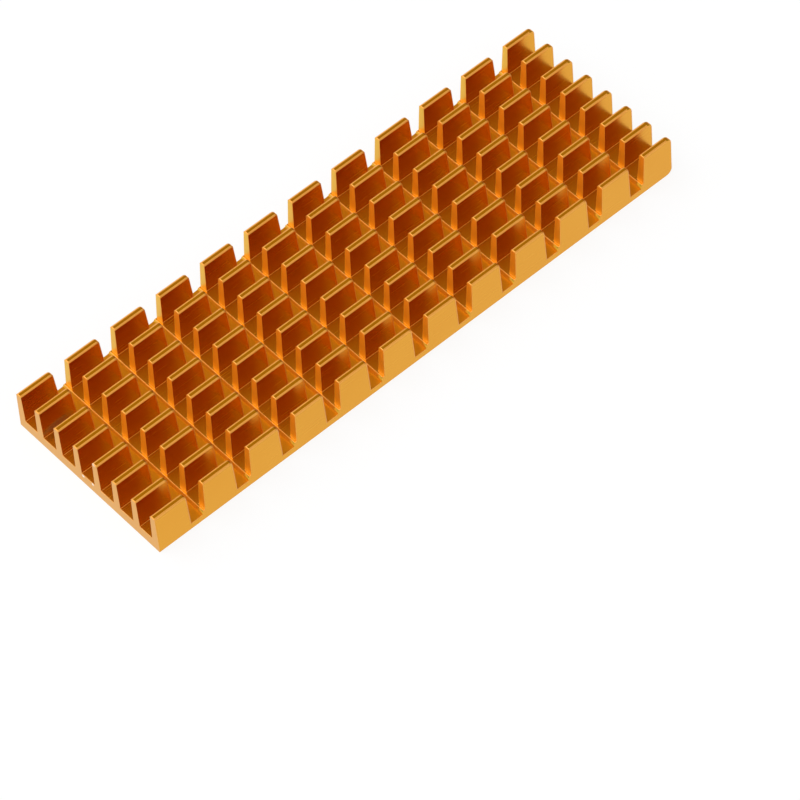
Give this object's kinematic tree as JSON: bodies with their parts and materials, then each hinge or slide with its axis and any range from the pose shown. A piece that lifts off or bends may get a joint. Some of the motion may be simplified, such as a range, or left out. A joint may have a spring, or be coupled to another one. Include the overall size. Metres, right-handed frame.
{
  "type": "ssd heat sink",
  "caption": "Slim finned aluminium heat sink, cut crosswise into pins, that spreads and sheds the heat of a plug-in storage module.",
  "frame": {"origin": "middle of the flat thermal face on the underside", "axes": "+X along the fins, +Y across them, +Z out of the thermal face towards the fin tips"},
  "size_m": [0.07, 0.0218, 0.0054],
  "materials": {
    "gold_anodised_aluminium": "gold anodised, as extruded and sawn"
  },
  "bodies": {
    "root": {"heat_sink": "gold_anodised_aluminium"}
  },
  "joints": []
}
